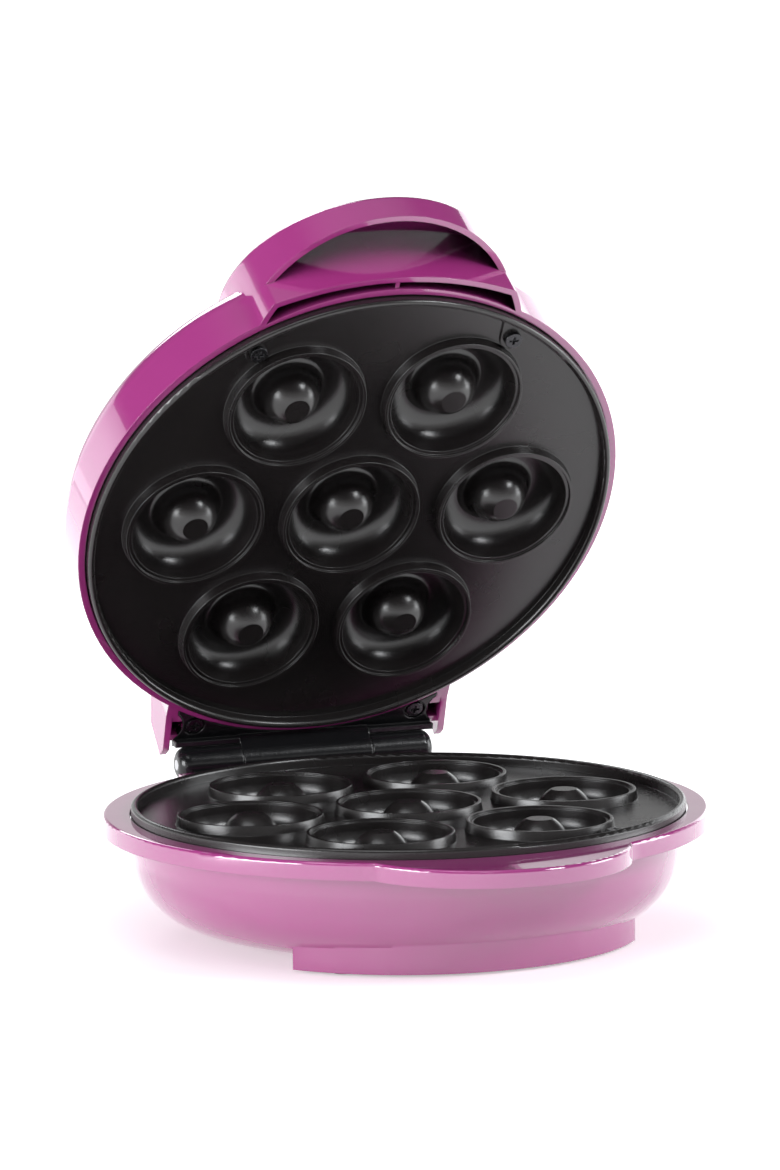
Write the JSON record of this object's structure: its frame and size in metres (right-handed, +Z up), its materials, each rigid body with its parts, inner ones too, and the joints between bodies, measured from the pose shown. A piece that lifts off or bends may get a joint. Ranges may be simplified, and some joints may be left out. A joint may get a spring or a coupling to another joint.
{
  "type": "electric donut maker",
  "caption": "Hinged electric donut maker, glossy magenta shells with a handle lobe and dark non-stick plates with ring-shaped wells, lid open.",
  "frame": {"origin": "middle of the footprint of the whole, on the table, lid open as in the picture", "axes": "+X to the right of someone facing the handle side, +Y back towards the hinge, +Z up"},
  "size_m": [0.2174, 0.2578, 0.263],
  "materials": {
    "magenta_plastic": "high gloss",
    "non_stick": "satin non-stick coating on cast aluminium",
    "black_plastic": "satin",
    "black_screw": "black oxide, satin",
    "steel": "satin",
    "sheath": "heat-tinted satin",
    "sheet": "bright sheet",
    "foot_rubber": "matt",
    "bush_rubber": "matt",
    "cream_plastic": "matt",
    "bakelite": "satin",
    "red_lens": "clear tinted",
    "green_lens": "clear tinted",
    "lamp_glass": "clear",
    "wire_sleeve": "woven glass sleeve"
  },
  "bodies": {
    "base": {"base_shell": "magenta_plastic", "lower_plate": "non_stick", "lower_plate_screws": "black_screw", "lower_heating_element": "sheath", "lower_heater_clips": "sheet", "lower_clip_screws": "steel", "lower_heat_shield": "sheet", "lower_shield_screws": "steel", "terminal_block": "cream_plastic", "terminal_block_screws": "steel", "lower_wiring": "wire_sleeve", "cord_gland": "bush_rubber", "rubber_feet": "foot_rubber", "base_hinge_bracket": "black_plastic", "base_hinge_screws": "black_screw", "hinge_pin": "steel"},
    "lid": {"lid_shell": "magenta_plastic", "upper_plate": "non_stick", "upper_plate_screws": "black_screw", "lid_hinge_screws": "black_screw", "lid_hinge_bracket": "black_plastic", "upper_heating_element": "sheath", "upper_heater_clips": "sheet", "upper_clip_screws": "steel", "upper_heat_shield": "sheet", "upper_shield_screws": "steel", "lid_wiring": "wire_sleeve", "thermostat": "bakelite", "thermostat_screws": "steel", "thermal_fuse": "steel", "thermal_fuse_clip": "sheet", "thermal_fuse_screw": "steel", "power_light_lens": "red_lens", "ready_light_lens": "green_lens", "indicator_lamps": "lamp_glass", "lamp_holder": "cream_plastic", "lamp_holder_screws": "steel"}
  },
  "joints": [
    {"name": "lid_hinge", "type": "hinge", "parent": "base", "child": "lid", "pos_m": [0, 0.10855, 0.04585], "axis": [-1, 0, 0], "range_deg": [-58.5, 41.5]}
  ]
}
